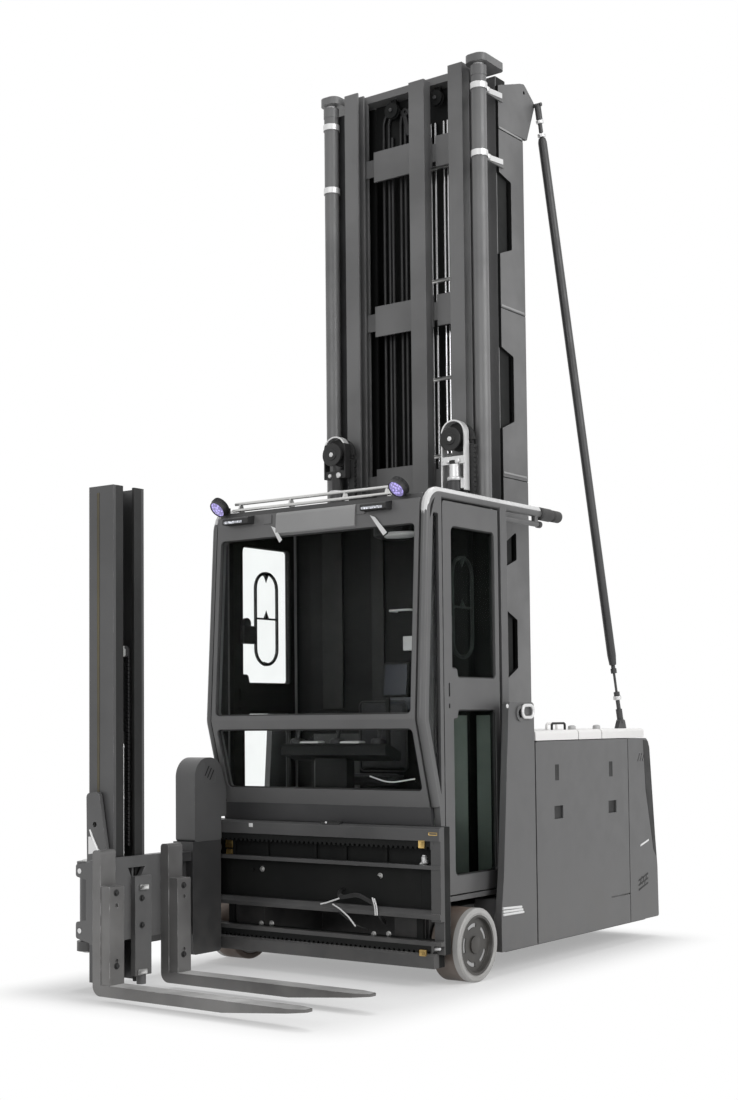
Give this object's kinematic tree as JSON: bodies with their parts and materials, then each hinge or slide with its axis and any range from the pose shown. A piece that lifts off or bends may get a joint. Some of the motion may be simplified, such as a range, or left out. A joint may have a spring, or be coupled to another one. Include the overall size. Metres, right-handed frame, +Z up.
{
  "type": "very narrow aisle truck",
  "caption": "Man-up narrow aisle truck: closed glazed cab on a tall stayed telescopic mast, swinging and traversing side-facing forks, steered drive wheel at the tail.",
  "frame": {"origin": "centre of the truck's floor rectangle, on the floor under the wheels", "axes": "+Z up; -Y is forwards, the fork head's end; +X is the truck's left side, towards which the forks point at rest"},
  "size_m": [1.803, 3.7177, 5.262],
  "materials": {
    "body_grey": "satin mid-grey paint",
    "dark_grey": "satin dark grey paint",
    "pale_cover": "pale moulded lid",
    "battery_case": "plain black case",
    "bright_steel": "polished rod",
    "steel": "zinc-plated steel",
    "fork_steel": "forged steel, dark paint",
    "tread": "brown polyurethane tread",
    "rim": "light grey paint",
    "glazing": "tinted glass",
    "seat_fabric": "black seat cover",
    "desk_plastic": "moulded black plastic",
    "lamp": "lamp housings"
  },
  "bodies": {
    "chassis": {"chassis_frame": "dark_grey", "front_uprights": "body_grey", "side_panels": "body_grey", "rear_cover": "body_grey", "top_covers": "pale_cover", "battery": "battery_case", "mast_side_plates": "body_grey", "fixed_rails": "dark_grey", "lift_cylinders": "body_grey", "mast_stays": "steel"},
    "mast_middle": {"middle_rails": "body_grey", "lift_rods": "bright_steel"},
    "mast_inner": {"inner_rails": "body_grey", "free_lift_cylinders": "dark_grey"},
    "free_lift_heads": {"free_lift_heads": "steel"},
    "cab": {"cab_front": "body_grey", "cab_sides": "body_grey", "cab_floor": "dark_grey", "cab_rear_wall": "dark_grey", "cab_roof": "body_grey", "roof_bars": "bright_steel", "cab_buffers": "desk_plastic", "windscreens": "glazing", "seat": "seat_fabric", "control_desk": "desk_plastic", "traverse_frame": "dark_grey", "roof_lamps": "lamp"},
    "door_left": {"door_left": "body_grey", "door_glass_left": "glazing"},
    "door_right": {"door_right": "body_grey", "door_glass_right": "glazing"},
    "turret": {"turret_housing": "body_grey", "turret_arm": "dark_grey"},
    "swing_head": {"aux_mast": "body_grey"},
    "aux_ram": {"aux_ram_head": "bright_steel"},
    "fork_carriage": {"fork_carriage": "body_grey", "fork_front": "fork_steel", "fork_rear": "fork_steel"},
    "load_wheel_left": {"load_tyre_left": "tread", "load_hub_left": "rim"},
    "load_wheel_right": {"load_tyre_right": "tread", "load_hub_right": "rim"},
    "steering": {"drive_unit": "dark_grey"},
    "drive_wheel": {"drive_tyre": "tread", "drive_hub": "rim"}
  },
  "joints": [
    {"name": "mast_middle_lift", "type": "slide", "parent": "chassis", "child": "mast_middle", "axis": [0, 0, 1], "range_m": [0, 3.9]},
    {"name": "mast_inner_lift", "type": "slide", "parent": "mast_middle", "child": "mast_inner", "axis": [0, 0, 1], "range_m": [0, 3.9]},
    {"name": "cab_lift", "type": "slide", "parent": "mast_inner", "child": "cab", "axis": [0, 0, 1], "range_m": [0, 2.4]},
    {"name": "free_lift", "type": "slide", "parent": "mast_inner", "child": "free_lift_heads", "axis": [0, 0, 1], "range_m": [0, 1.2]},
    {"name": "door_left_hinge", "type": "hinge", "parent": "cab", "child": "door_left", "pos_m": [0.6955, 0.139, 1.5], "axis": [0, 0, 1], "range_deg": [-70, 0]},
    {"name": "door_right_hinge", "type": "hinge", "parent": "cab", "child": "door_right", "pos_m": [-0.7665, 0.139, 1.5], "axis": [0, 0, 1], "range_deg": [0, 70]},
    {"name": "head_traverse", "type": "slide", "parent": "cab", "child": "turret", "axis": [1, 0, 0], "range_m": [0, 1.44]},
    {"name": "head_swing", "type": "hinge", "parent": "turret", "child": "swing_head", "pos_m": [-0.7555, -1.564, 0.43], "axis": [0, 0, 1], "range_deg": [-180, 0]},
    {"name": "fork_lift", "type": "slide", "parent": "swing_head", "child": "fork_carriage", "axis": [0, 0, 1], "range_m": [0, 1.55]},
    {"name": "aux_ram_lift", "type": "slide", "parent": "swing_head", "child": "aux_ram", "axis": [0, 0, 1], "range_m": [0, 0.775]},
    {"name": "load_wheel_left_spin", "type": "hinge", "parent": "chassis", "child": "load_wheel_left", "pos_m": [0.7415, -0.29, 0.193], "axis": [1, 0, 0], "continuous": true},
    {"name": "load_wheel_right_spin", "type": "hinge", "parent": "chassis", "child": "load_wheel_right", "pos_m": [-0.8125, -0.29, 0.193], "axis": [1, 0, 0], "continuous": true},
    {"name": "steer", "type": "hinge", "parent": "chassis", "child": "steering", "pos_m": [-0.0355, 1.396, 0.4], "axis": [0, 0, 1], "range_deg": [-90, 90]},
    {"name": "drive_wheel_spin", "type": "hinge", "parent": "steering", "child": "drive_wheel", "pos_m": [-0.0355, 1.396, 0.2], "axis": [1, 0, 0], "continuous": true}
  ],
  "couplings": [
    {"joint": "mast_inner_lift", "follows": "mast_middle_lift", "ratio": 1},
    {"joint": "free_lift", "follows": "cab_lift", "ratio": 0.5},
    {"joint": "aux_ram_lift", "follows": "fork_lift", "ratio": 0.5}
  ]
}
